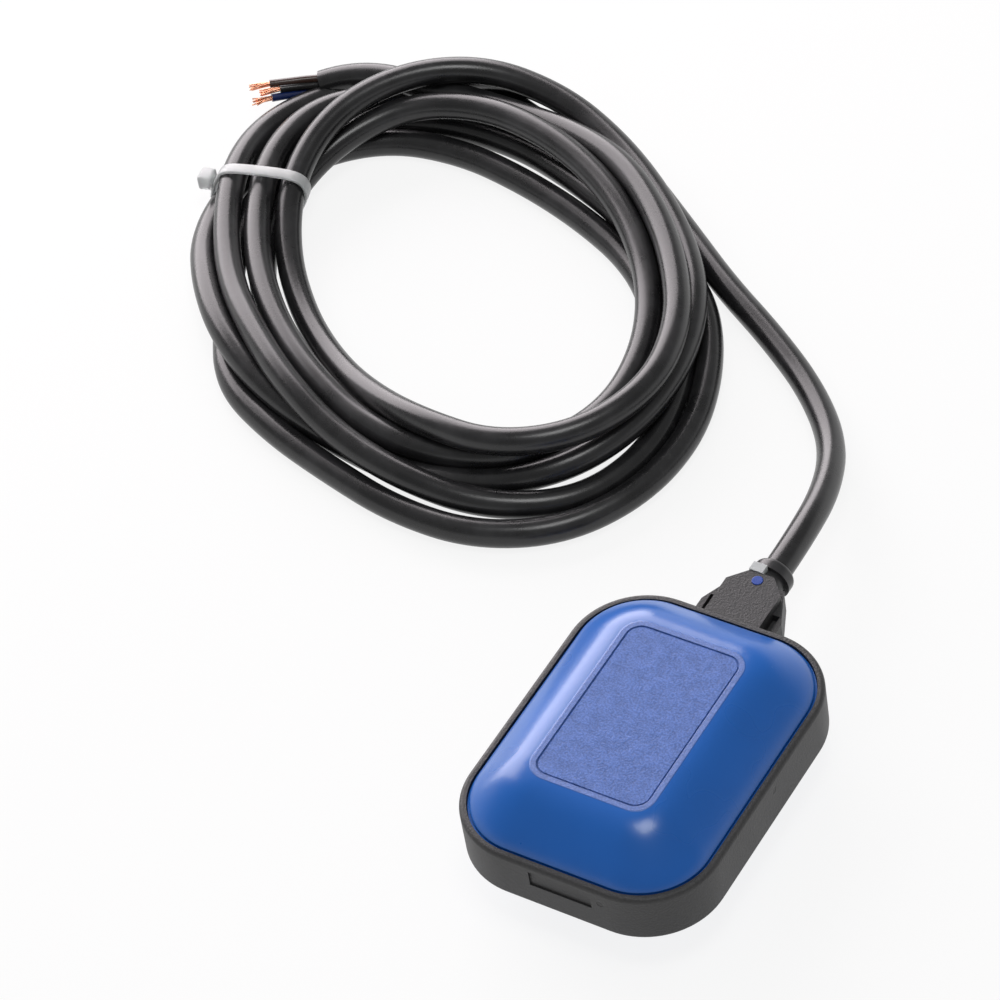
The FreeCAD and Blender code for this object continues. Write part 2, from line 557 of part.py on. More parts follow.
def make_switch():
    outer = box("CaseBlock", across("switch_width / 2"), ("switch_front", SWITCH_BACK),
                (SWITCH_LOW, CASE_HIGH))
    inner = box("CaseHollow", across("switch_width / 2 - switch_wall"),
                ("switch_front + switch_wall", f"{SWITCH_BACK} - switch_wall"),
                (f"{SWITCH_LOW} + switch_wall", f"{CASE_HIGH} + 1"))
    ears = [box("Ear", ("lever_arm - ear_width / 2", "lever_arm + ear_width / 2"),
                (f"{PIN_FRONT} - ear_width / 2", "switch_front + 0.2"), pair)
            for pair in ((SWITCH_LOW, f"{SWITCH_LOW} + ear_thickness"),
                         (f"{CASE_HIGH} - ear_thickness", CASE_HIGH))]
    bosses = [rod("CaseBoss", "switch_boss_radius", f"{CASE_HIGH} - {SWITCH_LOW}",
                  (f"{side} * switch_pitch / 2", SWITCH_SCREW, SWITCH_LOW)) for side in (1, -1)]
    holes = [rod("CaseHole", "switch_screw_radius + fit_clearance", "switch_thickness + 2",
                 (f"{side} * switch_pitch / 2", SWITCH_SCREW, f"{SWITCH_LOW} - 1"))
             for side in (1, -1)]
    pin_way = rod("PinWay", "pin_radius", "switch_thickness + 2",
                  ("lever_arm", PIN_FRONT, f"{SWITCH_LOW} - 1"))
    plunger_way = rod("PlungerWay", "plunger_radius + fit_clearance", "switch_wall + 2",
                      ("0", "switch_front - 1", PLUNGER_LEVEL), "y")
    slots = [box("TerminalSlot", (f"{side} * terminal_pitch - terminal_width / 2 - fit_clearance",
                                  f"{side} * terminal_pitch + terminal_width / 2 + fit_clearance"),
                 (f"{SWITCH_BACK} - switch_wall - 1", f"{SWITCH_BACK} + 1"),
                 (f"{terminal_level(side)} - fit_clearance",
                  f"{terminal_level(side)} + terminal_thickness + fit_clearance"))
             for side in (1, 0, -1)]
    hollow = cut("CaseTray", outer, inner)
    whole = fuse("CaseWhole", hollow, *ears, *bosses)
    keep(cut("SwitchCase", whole, pin_way, plunger_way, *holes, *slots), "switch_case")

    plate = box("CoverPlate", across("switch_width / 2"), ("switch_front", SWITCH_BACK),
                (CASE_HIGH, SWITCH_HIGH))
    cover_holes = [rod("CoverHole", "switch_screw_radius + fit_clearance", "switch_thickness",
                       (f"{side} * switch_pitch / 2", SWITCH_SCREW, f"{CASE_HIGH} - 1"))
                   for side in (1, -1)]
    keep(cut("SwitchCover", plate, *cover_holes), "switch_cover")

    screws = []
    for side in (1, -1):
        spot = (f"{side} * switch_pitch / 2", SWITCH_SCREW)
        shank = rod("SwitchShank", "switch_screw_radius", "switch_thickness + 4",
                    (*spot, f"{SWITCH_LOW} - 4"))
        head = rod("SwitchHead", "2 * switch_screw_radius", "1.8", (*spot, SWITCH_HIGH))
        screws.append(fuse("SwitchScrew", shank, head))
    group = doc.addObject("Part::Compound", "SwitchScrews")
    group.Links = screws
    keep(group, "switch_screws")


PLUNGER_LEVEL = f"({SWITCH_LOW} + {CASE_HIGH}) / 2"
PLUNGER_TIP = "(switch_front - plunger_reach)"
BLADE_PIVOT = "(terminal_pitch - terminal_width / 2)"
# the blade moves less than the plunger, so the plunger's end stands off it at rest
PLUNGER_END = (f"({BLADE_FRONT} - plunger_press - fit_clearance"
               f" + ({BLADE_PIVOT} - plunger_radius) * tan(blade_tilt * 1deg))")
OPEN_CONTACT = (f"({BLADE_FRONT} + blade_thickness + fit_clearance"
                f" + ({BLADE_PIVOT} + terminal_width / 2) * tan(blade_tilt * 1deg))")


def terminal_level(side):
    """The underside of a terminal: the closed contact's one passes under the blade."""
    if side < 0:
        return f"({SWITCH_LOW} + switch_wall + fit_clearance)"
    return f"({PLUNGER_LEVEL} - terminal_thickness / 2)"


def make_contacts():
    stem = rod("PlungerStem", "plunger_radius", f"{PLUNGER_END} - {PLUNGER_TIP}",
               ("0", PLUNGER_TIP, PLUNGER_LEVEL), "y")
    flange = rod("PlungerFlange", "plunger_flange_radius", "plunger_flange_thickness",
                 ("0", "switch_front + switch_wall + fit_clearance", PLUNGER_LEVEL), "y")
    keep(fuse("Plunger", stem, flange), "plunger")

    blade = box("BladeStrip", ("terminal_pitch + 1.6 - blade_length", "terminal_pitch + 1.6"),
                (BLADE_FRONT, f"{BLADE_FRONT} + blade_thickness"),
                (f"{PLUNGER_LEVEL} - blade_height / 2", f"{PLUNGER_LEVEL} + blade_height / 2"))
    window = box("BladeWindow", ("-terminal_pitch / 2 - 1", "-terminal_pitch / 2 + 0.6"),
                 (f"{BLADE_FRONT} - 1", f"{BLADE_FRONT} + 2"),
                 (f"{PLUNGER_LEVEL} - blade_height / 5", f"{PLUNGER_LEVEL} + blade_height / 5"))
    keep(cut("ContactBlade", blade, window), "contact_blade")

    for label, side in (("terminal_common", 1), ("terminal_open", 0), ("terminal_closed", -1)):
        level = terminal_level(side)
        name = label.title().replace("_", "")
        low = f"{side} * terminal_pitch - terminal_width / 2"
        high = f"{side} * terminal_pitch + terminal_width / 2"
        if side > 0:
            stop = f"{BLADE_FRONT} + blade_thickness + blade_grip"
        elif side == 0:
            stop = OPEN_CONTACT
        else:
            stop = f"({BLADE_FRONT} - contact_gap)"
        leg = box(name + "Leg", (low, high), (stop, TERMINAL_END),
                  (level, f"{level} + terminal_thickness"))
        eye = rod(name + "Eye", "terminal_hole", "terminal_thickness + 2",
                  (f"{side} * terminal_pitch", f"{TERMINAL_END} - terminal_hole_inset", f"{level} - 1"))
        if side < 0:
            finger = box(name + "Finger", (low, high), (stop, f"{stop} + terminal_thickness"),
                         (level, f"{PLUNGER_LEVEL} + 1.4"))
            button = rod(name + "Button", "contact_radius", "contact_height",
                         (f"{side} * terminal_pitch", f"{stop} + terminal_thickness",
                          PLUNGER_LEVEL), "y")
            whole = fuse(name + "Whole", leg, finger, button)
        elif side == 0:
            whole = leg
        else:
            holder = box(name + "Holder", (low, high), (stop, f"{stop} + terminal_thickness"),
                         (f"{PLUNGER_LEVEL} - blade_height / 2",
                          f"{PLUNGER_LEVEL} + blade_height / 2"))
            whole = fuse(name + "Whole", leg, holder)
        keep(cut(name, whole, eye), label)


# Lever, its pin and the ball

def make_lever():
    """The lever stands at its rest angle, its back just off the plunger's tip."""
    angle = math.radians(size("lever_rest_angle"))
    pin = V(size("lever_arm"), size("switch_front") - size("pin_setback"), 0)
    eye_radius = size("pin_radius") + size("fit_clearance") + size("eye_wall")
    low = size("body_thickness") / 2 - size("switch_thickness") / 2
    case_high = low + size("switch_thickness") - size("switch_cover_thickness")
    level = (low + case_high) / 2
    half = size("lever_height") / 2
    tip = size("switch_front") - size("plunger_reach")
    # distance of the lever's back from the pin's axis, so that it clears the plunger's tip
    along = V(-math.cos(angle), -math.sin(angle), 0)
    normal = V(-math.sin(angle), math.cos(angle), 0)
    touch = V(size("plunger_radius"), tip - size("fit_clearance"), 0)
    back = (touch - pin).dot(normal)
    thick = size("lever_thickness")
    corners = [pin + normal * (back - thick * k) + along * s
               for k, s in ((0, 0), (0, size("lever_length")), (1, size("lever_length")), (1, 0))]
    outline = [V(c.x, c.y, level - half) for c in corners]
    face = Part.Face(Part.makePolygon(outline + outline[:1]))
    strip = face.extrude(V(0, 0, 2 * half))
    start = V(pin.x, pin.y, level - half)
    eye = Part.makeCylinder(eye_radius, 2 * half, start)
    bore = Part.makeCylinder(size("pin_radius") + size("fit_clearance"), 2 * half, start)
    shape = strip.fuse(eye).cut(bore).removeSplitter()
    keep(solid_feature("Lever", shape), "lever")
    front = back - thick
    reach = size("ball_radius") + size("ball_stop_gap")
    # ball's centre when it stands the stop gap short of the lever's front, on X = 0
    offset = (V(0, 0, 0) - pin).dot(normal) - front
    return (-reach - offset) / normal.y


def make_pin_and_ball():
    pin = rod("Pin", "pin_radius", f"{CASE_HIGH} - {SWITCH_LOW}",
              ("lever_arm", PIN_FRONT, SWITCH_LOW))
    keep(pin, "lever_pin")
    ball = doc.addObject("Part::Sphere", "Ball")
    bind(ball, "Radius", "ball_radius")
    place(ball, "0", f"-{CAPSULE_END} + capsule_wall + ball_radius + fit_clearance",
          f"{FLOOR} + ball_radius")
    keep(ball, "steel_ball")


# Cable: routes of straight runs joined by tangent arcs

def route_wire(points):
    """Straight runs with each corner rounded as far as its shorter run allows."""
    edges = []
    radii = []
    last = points[0]
    for before, corner, after in zip(points, points[1:], points[2:]):
        into = (corner - before).normalize()
        out = (after - corner).normalize()
        turn = into.getAngle(out)
        trim = 0.45 * min((corner - before).Length, (after - corner).Length)
        radii.append(trim / math.tan(turn / 2))
        start = corner - into * trim
        end = corner + out * trim
        middle_way = (out - into).normalize()
        sagitta = radii[-1] * (1 / math.cos(turn / 2) - 1)
        edges.append(Part.LineSegment(last, start).toShape())
        edges.append(Part.Arc(start, corner + middle_way * sagitta, end).toShape())
        last = end
    edges.append(Part.LineSegment(last, points[-1]).toShape())
    return Part.Wire(edges), radii


def tube(name, label, diameter, points):
    """A round tube along a route, checked against section times length."""
    wire, radii = route_wire(points)
    ring = Part.Wire(Part.Circle(points[0], points[1] - points[0], diameter / 2).toShape())
    shape = wire.makePipeShell([ring], True, False)
    expected = math.pi * diameter ** 2 / 4 * wire.Length
    print(f"{label}: length {wire.Length:.1f}, radii",
          " ".join(f"{r:.0f}" for r in radii), f"volume ratio {shape.Volume / expected:.4f}")
    if abs(shape.Volume / expected - 1) > 0.01:
        raise RuntimeError(f"{label}: the tube's volume is wrong")
    return keep(solid_feature(name, shape), label)


FLOAT_MIDDLE = size("body_thickness") / 2
CABLE_LOW = size("cable_diameter") / 2
EXIT_Y = (size("body_length") / 2 + size("neck_reach") + size("bush_groove")
          + size("collar_length"))
COIL_CENTRE = V(-160.8, 160.4, 0)
HOLE_CENTRE = V(-158.5, 158.1, 0)

LEAD_ROUTE = [V(0, EXIT_Y, FLOAT_MIDDLE), V(0, EXIT_Y + 19, FLOAT_MIDDLE),
              V(-3.5, EXIT_Y + 39, 14), V(-11, EXIT_Y + 60, CABLE_LOW + 1.1),
              V(-27, EXIT_Y + 80, CABLE_LOW + 0.1), V(-49, EXIT_Y + 97, CABLE_LOW),
              V(-73, EXIT_Y + 112, CABLE_LOW), V(-92, EXIT_Y + 122, CABLE_LOW)]
TAIL_ROUTE = [V(-231, 247, CABLE_LOW), V(-244, 239, CABLE_LOW), V(-256, 230.5, CABLE_LOW)]


def make_cable():
    d = size("cable_diameter")
    inside = size("capsule_length") / 2 - size("capsule_wall") - size("sheath_inside")
    held = Part.makeCylinder(d / 2, EXIT_Y - inside, V(0, inside, FLOAT_MIDDLE), V(0, 1, 0))
    keep(solid_feature("CableHeld", held), "cable_held")
    tube("CableLead", "cable_lead", d, LEAD_ROUTE)
    tube("CableTail", "cable_tail", d, TAIL_ROUTE)


def oval(centre, half_length, half_width, turn):
    ellipse = Part.Ellipse(V(0, 0, 0), half_length, half_width)
    edge = ellipse.toShape()
    edge.Placement = FreeCAD.Placement(centre, FreeCAD.Rotation(V(0, 0, 1), turn))
    return Part.Wire(edge)


# The tie's own axes: across the bundle, along it, and up
TIE_CENTRE = V(-239.85, 170.71, 0)
TIE_ANGLE = 11.62
TIE_INSIDE = [  # corners of the space that the strap holds together: across it, and height
    (-20.4, 1.3), (9.6, 1.3), (16.2, 13.4), (14.2, 20.6), (-15.8, 19.6)]


def at_tie(shape):
    shape.Placement = FreeCAD.Placement(TIE_CENTRE, FreeCAD.Rotation(V(0, 0, 1), TIE_ANGLE))
    return shape


def tie_space(width):
    """What lies inside the strap, as long along the bundle as is asked."""
    corners = [V(across, -width / 2, height) for across, height in TIE_INSIDE]
    block = Part.Face(Part.makePolygon(corners + corners[:1])).extrude(V(0, width, 0))
    return block.makeFillet(size("tie_round"),
                            [e for e in block.Edges if e.BoundBox.YLength > width - 0.1])


def make_coil():
    """The closed outer form of the wound turns: an oval ring with a waist at the tie."""
    outside = oval(COIL_CENTRE, size("coil_half_length"), size("coil_half_width"),
                   size("coil_turn"))
    hole = oval(HOLE_CENTRE, size("hole_half_length"), size("hole_half_width"),
                size("hole_turn"))
    ring = Part.Face(outside).cut(Part.Face(hole))
    solid = ring.extrude(V(0, 0, size("coil_height"))).Solids[0]
    solid = solid.makeFillet(size("coil_round"),
                             [e for e in solid.Edges if e.BoundBox.ZLength < 1e-3])
    # room at the outer edge for the cable's end, which lies on the floor under the top turn
    start, after = TAIL_ROUTE[:2]
    way = after - start
    half = size("cable_diameter") / 2 + size("tail_room")
    room = Part.makeBox(80, half + 40, size("cable_diameter") + size("tail_room") + 5,
                        V(0, -40, -5))
    room.Placement = FreeCAD.Placement(
        V(start.x, start.y, 0),
        FreeCAD.Rotation(V(0, 0, 1), math.degrees(math.atan2(way.y, way.x))))
    waist = max(size("tie_width"), size("tie_head")) + 2 * size("fit_clearance")
    slab = Part.makeBox(60, waist, size("coil_height") + 4, V(-34, -waist / 2, -2))
    slab = at_tie(slab.cut(tie_space(waist + 2)))
    return keep(solid_feature("CableCoil", solid.cut(room).cut(slab)), "cable_coil")


def make_tie():
    """A strap closed round the bundle, with its head on the outside."""
    width = size("tie_width")
    end = min(tie_space(width).Faces, key=lambda face: face.CenterOfMass.y)
    outside = end.makeOffset2D(size("tie_thickness")).extrude(V(0, width, 0))
    side = size("tie_head")
    low = size("tie_head_level") - side / 2
    deep = size("tie_head_height")
    head = Part.makeBox(deep + 1.5, side, side,
                        V(size("tie_head_across") - deep / 2, -side / 2, low))
    head = head.makeFillet(1.2, head.Edges)
    shape = outside.fuse(head).cut(tie_space(side + width)).removeSplitter()
    return keep(solid_feature("CableTie", at_tie(shape)), "cable_tie")


def make_cores():
    """Three stripped cores that fan out of the sheath's end, each with bare copper."""
    end = TAIL_ROUTE[-1]
    way = (TAIL_ROUTE[-1] - TAIL_ROUTE[-2]).normalize()
    side = V(-way.y, way.x, 0)
    ring = (size("cable_diameter") - size("core_diameter")) / 2 - size("sheath_wall")
    length = size("core_length")
    # per core: place across and above the sheath's middle, share of the length, last offset
    plan = {"brown": (-0.87, -0.5, 1.0, -1.6), "black": (0.0, 1.0, 0.78, 0.2),
            "blue": (0.87, -0.5, 0.9, 1.7)}
    for colour, (aside, above, share, fan) in plan.items():
        start = end + side * (ring * aside) + V(0, 0, ring * above)
        bend = start + way * (0.4 * length * share)
        stop = bend + way * (0.6 * length * share) + side * fan + V(0, 0, -0.4)
        tube(f"Core{colour.title()}", f"core_{colour}", size("core_diameter"),
             [start, bend, stop])
        out = (stop - bend).normalize()
        copper = Part.makeCylinder(size("copper_diameter") / 2, size("copper_length"), stop, out)
        keep(solid_feature(f"Strands{colour.title()}", copper), f"strands_{colour}")


def make_wires():
    """The same cores inside the capsule, from the sheath's end to the terminals."""
    inside = size("capsule_length") / 2 - size("capsule_wall") - size("sheath_inside")
    end = size("switch_front") + size("switch_depth") + size("terminal_reach")
    low = size("body_thickness") / 2 - size("switch_thickness") / 2
    level = low + (size("switch_thickness") - size("switch_cover_thickness")) / 2
    closed = (low + size("switch_wall") + size("fit_clearance")
              + size("terminal_thickness") / 2)
    spread = size("wire_spread")
    plan = {"blue": (1, level, spread, -0.5 * spread), "brown": (-1, closed, -spread, -0.5 * spread),
            "black": (0, level, 0, spread)}
    for colour, (place_index, height, dx, dz) in plan.items():
        x = place_index * size("terminal_pitch")
        gap = inside - end
        points = [V(dx, inside, FLOAT_MIDDLE + dz), V(dx, inside - 0.35 * gap, FLOAT_MIDDLE + dz),
                  V(x, end + 0.35 * gap, height), V(x, end, height)]
        tube(f"Wire{colour.title()}", f"wire_{colour}", size("wire_diameter"), points)


make_band()
make_cover("upper_cover", turned=False)
make_cover("lower_cover", turned=True)
make_gland()
make_capsule()
make_switch()
make_contacts()
ball_end = make_lever()
make_pin_and_ball()
make_wires()
make_cable()
make_coil()
make_tie()
make_cores()
doc.recompute()

ball_start = (-size("capsule_length") / 2 + size("capsule_wall") + size("ball_radius")
              + size("fit_clearance"))
print(f"ball travel {ball_end - ball_start:.3f} from y {ball_start:.3f} to {ball_end:.3f}")

for thing in doc.Objects:
    if {"Invalid", "Error"} & set(thing.State):
        raise RuntimeError(f"{thing.Label} failed: {thing.State}")
os.makedirs("parts", exist_ok=True)
for piece in pieces:
    shape = piece.Shape
    if shape.isNull() or not shape.isValid():
        raise RuntimeError(f"{piece.Label} has no valid shape")
    shape.exportStep(f"parts/{piece.Label}.step")
    print(f"{piece.Label}: {len(shape.Solids)} solid, {shape.Volume / 1000:.2f} cm3")
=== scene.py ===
import json
import math

import bmesh
import bpy
from bpy.props import (FloatProperty, FloatVectorProperty, IntProperty,
                       PointerProperty)
from mathutils import Matrix, Vector

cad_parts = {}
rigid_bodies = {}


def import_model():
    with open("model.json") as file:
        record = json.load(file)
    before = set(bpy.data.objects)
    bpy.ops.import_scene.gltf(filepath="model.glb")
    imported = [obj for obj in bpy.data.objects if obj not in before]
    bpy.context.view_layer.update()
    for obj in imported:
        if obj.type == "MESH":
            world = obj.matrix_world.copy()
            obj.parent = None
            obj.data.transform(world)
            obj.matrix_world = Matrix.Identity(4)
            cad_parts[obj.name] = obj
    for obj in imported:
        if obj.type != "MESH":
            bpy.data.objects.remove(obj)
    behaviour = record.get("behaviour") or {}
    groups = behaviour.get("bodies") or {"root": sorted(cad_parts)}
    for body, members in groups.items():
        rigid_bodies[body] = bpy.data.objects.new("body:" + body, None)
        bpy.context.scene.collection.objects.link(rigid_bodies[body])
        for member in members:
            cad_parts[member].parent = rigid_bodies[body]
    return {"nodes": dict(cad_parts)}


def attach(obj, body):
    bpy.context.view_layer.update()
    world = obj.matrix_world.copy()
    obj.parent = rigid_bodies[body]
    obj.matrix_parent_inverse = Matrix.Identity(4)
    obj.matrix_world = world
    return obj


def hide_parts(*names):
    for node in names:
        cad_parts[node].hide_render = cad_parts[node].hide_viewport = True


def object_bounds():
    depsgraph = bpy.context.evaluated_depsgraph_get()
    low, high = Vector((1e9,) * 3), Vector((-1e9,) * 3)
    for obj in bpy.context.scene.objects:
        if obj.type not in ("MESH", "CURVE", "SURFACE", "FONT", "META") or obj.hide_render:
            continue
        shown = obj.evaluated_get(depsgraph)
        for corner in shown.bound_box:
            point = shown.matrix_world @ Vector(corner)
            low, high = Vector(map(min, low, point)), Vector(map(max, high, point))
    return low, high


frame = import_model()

bl_info = {
    "name": "Cable float switch",
    "version": (1, 0, 0),
    "blender": (4, 5, 0),
    "location": "3D View > Sidebar > Float switch",
    "description": "Dresses a cable float switch: its coiled cable, cores, tie, covers and works",
    "category": "Object",
}

CAD_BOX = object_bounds()
ROOT = "float_and_cable"

# Control points of the cable's line, in metres: out of the bush, over the bench and six and a bit
# times round the coil. They were worked out beforehand from a line traced in the picture:
# spread evenly along it, and set apart where turns lie against each other.
CABLE_ROUTE = [
    (0.0000, 0.0803, 0.0210), (0.0000, 0.0941, 0.0210), (-0.0046, 0.1209, 0.0149),
    (-0.0156, 0.1454, 0.0074), (-0.0343, 0.1657, 0.0045), (-0.0569, 0.1816, 0.0045),
    (-0.0806, 0.1956, 0.0048), (-0.1031, 0.2116, 0.0048), (-0.1256, 0.2275, 0.0045),
    (-0.1493, 0.2416, 0.0054), (-0.1751, 0.2511, 0.0100), (-0.2028, 0.2471, 0.0141),
    (-0.2266, 0.2340, 0.0053), (-0.2450, 0.2128, 0.0124), (-0.2466, 0.1849, 0.0144),
    (-0.2363, 0.1589, 0.0136), (-0.2212, 0.1360, 0.0134), (-0.2014, 0.1163, 0.0135),
    (-0.1787, 0.1009, 0.0133), (-0.1531, 0.0900, 0.0113), (-0.1254, 0.0889, 0.0106),
    (-0.0986, 0.0986, 0.0121), (-0.0832, 0.1224, 0.0133), (-0.0854, 0.1508, 0.0131),
    (-0.0962, 0.1761, 0.0140), (-0.1141, 0.1973, 0.0170), (-0.1366, 0.2133, 0.0187),
    (-0.1622, 0.2237, 0.0194), (-0.1894, 0.2279, 0.0184), (-0.2153, 0.2207, 0.0158),
    (-0.2317, 0.1983, 0.0113), (-0.2362, 0.1715, 0.0054), (-0.2280, 0.1448, 0.0045),
    (-0.2103, 0.1232, 0.0045), (-0.1876, 0.1075, 0.0045), (-0.1617, 0.0976, 0.0045),
    (-0.1339, 0.0949, 0.0045), (-0.1072, 0.1026, 0.0045), (-0.0862, 0.1224, 0.0045),
    (-0.0813, 0.1495, 0.0045), (-0.0947, 0.1759, 0.0045), (-0.1143, 0.1942, 0.0045),
    (-0.1400, 0.2059, 0.0045), (-0.1661, 0.2137, 0.0045), (-0.1935, 0.2183, 0.0045),
    (-0.2209, 0.2140, 0.0045), (-0.2416, 0.1949, 0.0046), (-0.2458, 0.1675, 0.0060),
    (-0.2365, 0.1413, 0.0050), (-0.2235, 0.1172, 0.0045), (-0.2079, 0.0937, 0.0045),
    (-0.1828, 0.0819, 0.0045), (-0.1561, 0.0743, 0.0045), (-0.1294, 0.0681, 0.0045),
    (-0.1013, 0.0685, 0.0045), (-0.0763, 0.0813, 0.0045), (-0.0618, 0.1055, 0.0045),
    (-0.0592, 0.1335, 0.0045), (-0.0670, 0.1599, 0.0045), (-0.0810, 0.1840, 0.0045),
    (-0.1030, 0.2015, 0.0045), (-0.1254, 0.2165, 0.0045), (-0.1500, 0.2301, 0.0046),
    (-0.1749, 0.2406, 0.0045), (-0.2022, 0.2493, 0.0045), (-0.2293, 0.2453, 0.0045),
    (-0.2511, 0.2259, 0.0045), (-0.2600, 0.2001, 0.0089), (-0.2545, 0.1729, 0.0138),
    (-0.2419, 0.1484, 0.0140), (-0.2254, 0.1260, 0.0147), (-0.2048, 0.1078, 0.0171),
    (-0.1821, 0.0920, 0.0175), (-0.1570, 0.0809, 0.0138), (-0.1299, 0.0764, 0.0106),
    (-0.1023, 0.0785, 0.0073), (-0.0778, 0.0936, 0.0046), (-0.0677, 0.1196, 0.0045),
    (-0.0716, 0.1474, 0.0045), (-0.0830, 0.1724, 0.0065), (-0.1015, 0.1932, 0.0100),
    (-0.1249, 0.2078, 0.0093), (-0.1498, 0.2195, 0.0065), (-0.1760, 0.2283, 0.0046),
    (-0.2037, 0.2288, 0.0045), (-0.2303, 0.2192, 0.0046), (-0.2499, 0.1996, 0.0045),
    (-0.2564, 0.1717, 0.0051), (-0.2500, 0.1450, 0.0080), (-0.2336, 0.1227, 0.0120),
    (-0.2134, 0.1038, 0.0131), (-0.1888, 0.0915, 0.0094), (-0.1621, 0.0853, 0.0056),
    (-0.1347, 0.0823, 0.0045), (-0.1075, 0.0870, 0.0062), (-0.0837, 0.1005, 0.0110),
    (-0.0724, 0.1253, 0.0129), (-0.0724, 0.1528, 0.0137), (-0.0812, 0.1790, 0.0143),
    (-0.0982, 0.2011, 0.0130), (-0.1189, 0.2194, 0.0127), (-0.1421, 0.2344, 0.0134),
    (-0.1674, 0.2444, 0.0158), (-0.1960, 0.2438, 0.0201), (-0.2186, 0.2278, 0.0232),
    (-0.2324, 0.2031, 0.0218), (-0.2329, 0.1760, 0.0152), (-0.2212, 0.1516, 0.0076),
    (-0.2025, 0.1314, 0.0045), (-0.1804, 0.1148, 0.0062), (-0.1566, 0.1017, 0.0123),
    (-0.1317, 0.0930, 0.0190), (-0.1041, 0.0915, 0.0212), (-0.0815, 0.1065, 0.0216),
    (-0.0711, 0.1327, 0.0221), (-0.0764, 0.1598, 0.0225), (-0.0910, 0.1836, 0.0216),
    (-0.1094, 0.2039, 0.0209), (-0.1314, 0.2208, 0.0194), (-0.1569, 0.2309, 0.0156),
    (-0.1842, 0.2351, 0.0121), (-0.2118, 0.2336, 0.0135), (-0.2413, 0.2335, 0.0122),
    (-0.2532, 0.2260, 0.0085),
]


class CableSettings(bpy.types.PropertyGroup):
    diameter: FloatProperty(name="Diameter", description="Outside diameter of the sheath",
                            default=0.009, min=0.002, unit="LENGTH")
    length: FloatProperty(name="Length", description="Length of the sheath from the bush to its cut end",
                          default=3.367, min=0.1, unit="LENGTH")
    colour: FloatVectorProperty(name="Sheath colour", description="Colour of the rubber sheath",
                                default=(0.0105, 0.0105, 0.0112), size=3, subtype="COLOR")
    core_diameter: FloatProperty(name="Core diameter", description="Outside diameter of one insulated core",
                                 default=0.0027, min=0.0005, unit="LENGTH")
    bare_length: FloatProperty(name="Bare length", description="Length of the bare copper on a core",
                               default=0.0072, min=0.001, unit="LENGTH")
    wires: IntProperty(name="Wires", description="Fine copper wires in one core", default=12, min=3)
    brown: FloatVectorProperty(name="Brown core", description="Colour of the brown insulation",
                               default=(0.045, 0.022, 0.016), size=3, subtype="COLOR")
    black: FloatVectorProperty(name="Black core", description="Colour of the black insulation",
                               default=(0.012, 0.012, 0.013), size=3, subtype="COLOR")
    blue: FloatVectorProperty(name="Blue core", description="Colour of the blue insulation",
                              default=(0.006, 0.020, 0.110), size=3, subtype="COLOR")
    copper: FloatVectorProperty(name="Copper", description="Colour of the bare copper",
                                default=(0.90, 0.46, 0.30), size=3, subtype="COLOR")


class TieSettings(bpy.types.PropertyGroup):
    width: FloatProperty(name="Width", description="Width of the strap", default=0.0042,
                         min=0.001, unit="LENGTH")
    thickness: FloatProperty(name="Thickness", description="Thickness of the strap",
                             default=0.0010, min=0.0003, unit="LENGTH")
    head: FloatProperty(name="Head", description="Side of the head's block", default=0.0062,
                        min=0.002, unit="LENGTH")
    colour: FloatVectorProperty(name="Nylon colour", description="Colour of the milky nylon",
                                default=(0.72, 0.74, 0.74), size=3, subtype="COLOR")


class HousingSettings(bpy.types.PropertyGroup):
    blue: FloatVectorProperty(name="Cover colour", description="Colour of the two covers",
                              default=(0.002, 0.098, 0.410), size=3, subtype="COLOR")
    panel_blue: FloatVectorProperty(name="Panel colour", description="Colour of the grained panel",
                                    default=(0.034, 0.112, 0.410), size=3, subtype="COLOR")
    band: FloatVectorProperty(name="Band colour", description="Colour of the band and the neck",
                              default=(0.028, 0.028, 0.029), size=3, subtype="COLOR")
    panel_width: FloatProperty(name="Panel width", description="Width of the flat panel on a cover",
                               default=0.040, unit="LENGTH")
    panel_length: FloatProperty(name="Panel length", description="Length of the flat panel on a cover",
                                default=0.064, unit="LENGTH")
    panel_radius: FloatProperty(name="Panel radius", description="Radius of the panel's corners",
                                default=0.0065, unit="LENGTH")
    border: FloatProperty(name="Border", description="Distance of the fine line from the panel's edge",
                          default=0.0019, unit="LENGTH")


class StageSettings(bpy.types.PropertyGroup):
    lens: FloatProperty(name="Lens", description="Focal length in millimetres on a 36 mm sensor",
                        default=162.8, min=10)
    key: FloatProperty(name="Key light", description="Power of the large soft light at the back left",
                       default=30.0, min=0, unit="POWER")
    top: FloatProperty(name="Top light", description="Power of the small soft light overhead",
                       default=6.0, min=0, unit="POWER")
    surround: FloatProperty(name="Surround", description="Strength of the light from all round",
                            default=0.32, min=0, subtype="FACTOR")


class Wire:
    """A socket in a shader, with arithmetic that adds the Math nodes for it."""

    def __init__(self, recipe, socket):
        self.recipe, self.socket = recipe, socket

    def math(self, operation, *values):
        return self.recipe.node("ShaderNodeMath", {"operation": operation}, dict(enumerate(values)))

    def __add__(self, other):
        return self.math("ADD", self, other)

    def __sub__(self, other):
        return self.math("SUBTRACT", self, other)

    def __mul__(self, other):
        return self.math("MULTIPLY", self, other)

    def size(self):
        return self.math("ABSOLUTE", self)

    def least(self, other):
        return self.math("MINIMUM", self, other)

    def most(self, other):
        return self.math("MAXIMUM", self, other)

    def root(self):
        return self.math("SQRT", self)

    def ramp(self, low, high):
        """0 below low and 1 above high, smooth between them. low may be the larger."""
        return self.recipe.node("ShaderNodeMapRange", {"interpolation_type": "SMOOTHSTEP"},
                                {0: self, 1: low, 2: high, 3: 0.0, 4: 1.0})


